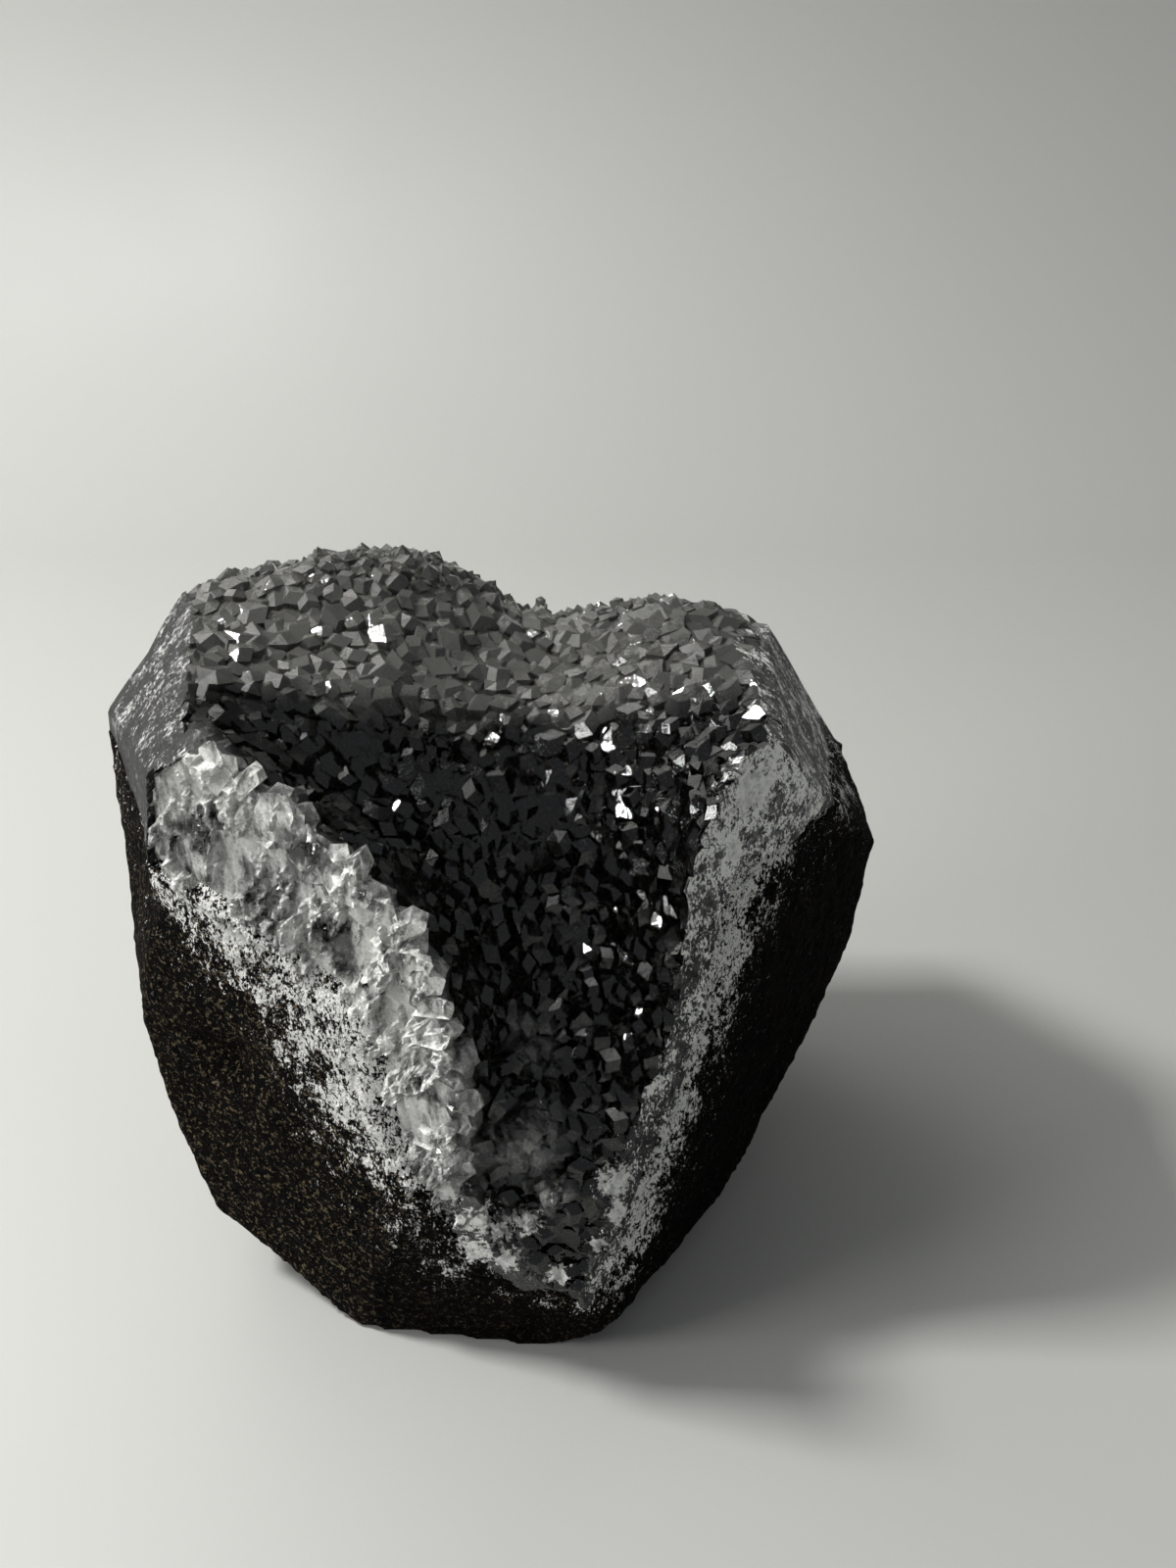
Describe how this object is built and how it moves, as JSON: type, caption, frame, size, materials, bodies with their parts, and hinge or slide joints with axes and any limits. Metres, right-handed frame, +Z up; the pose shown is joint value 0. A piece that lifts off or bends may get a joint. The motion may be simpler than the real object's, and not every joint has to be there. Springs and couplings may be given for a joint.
{
  "type": "rough chalcedony specimen",
  "caption": "Palm-sized heart-shaped block of dark volcanic stone, ground to flats, its open top and front lined with a crust of small clear quartz points.",
  "frame": {"origin": "on the surface the block rests on, in its flat foot", "axes": "+Z up; -Y is the front, where the crystal-lined valley runs down to the foot; +X is to the right in the front view"},
  "size_m": [0.0856, 0.0712, 0.0784],
  "materials": {
    "basalt": "dark ground volcanic stone, matt, with pale specks",
    "quartz": "clear to smoky small quartz crystals, white where broken"
  },
  "bodies": {
    "root": {"basalt_matrix": "basalt", "quartz_crust": "quartz"}
  },
  "joints": []
}
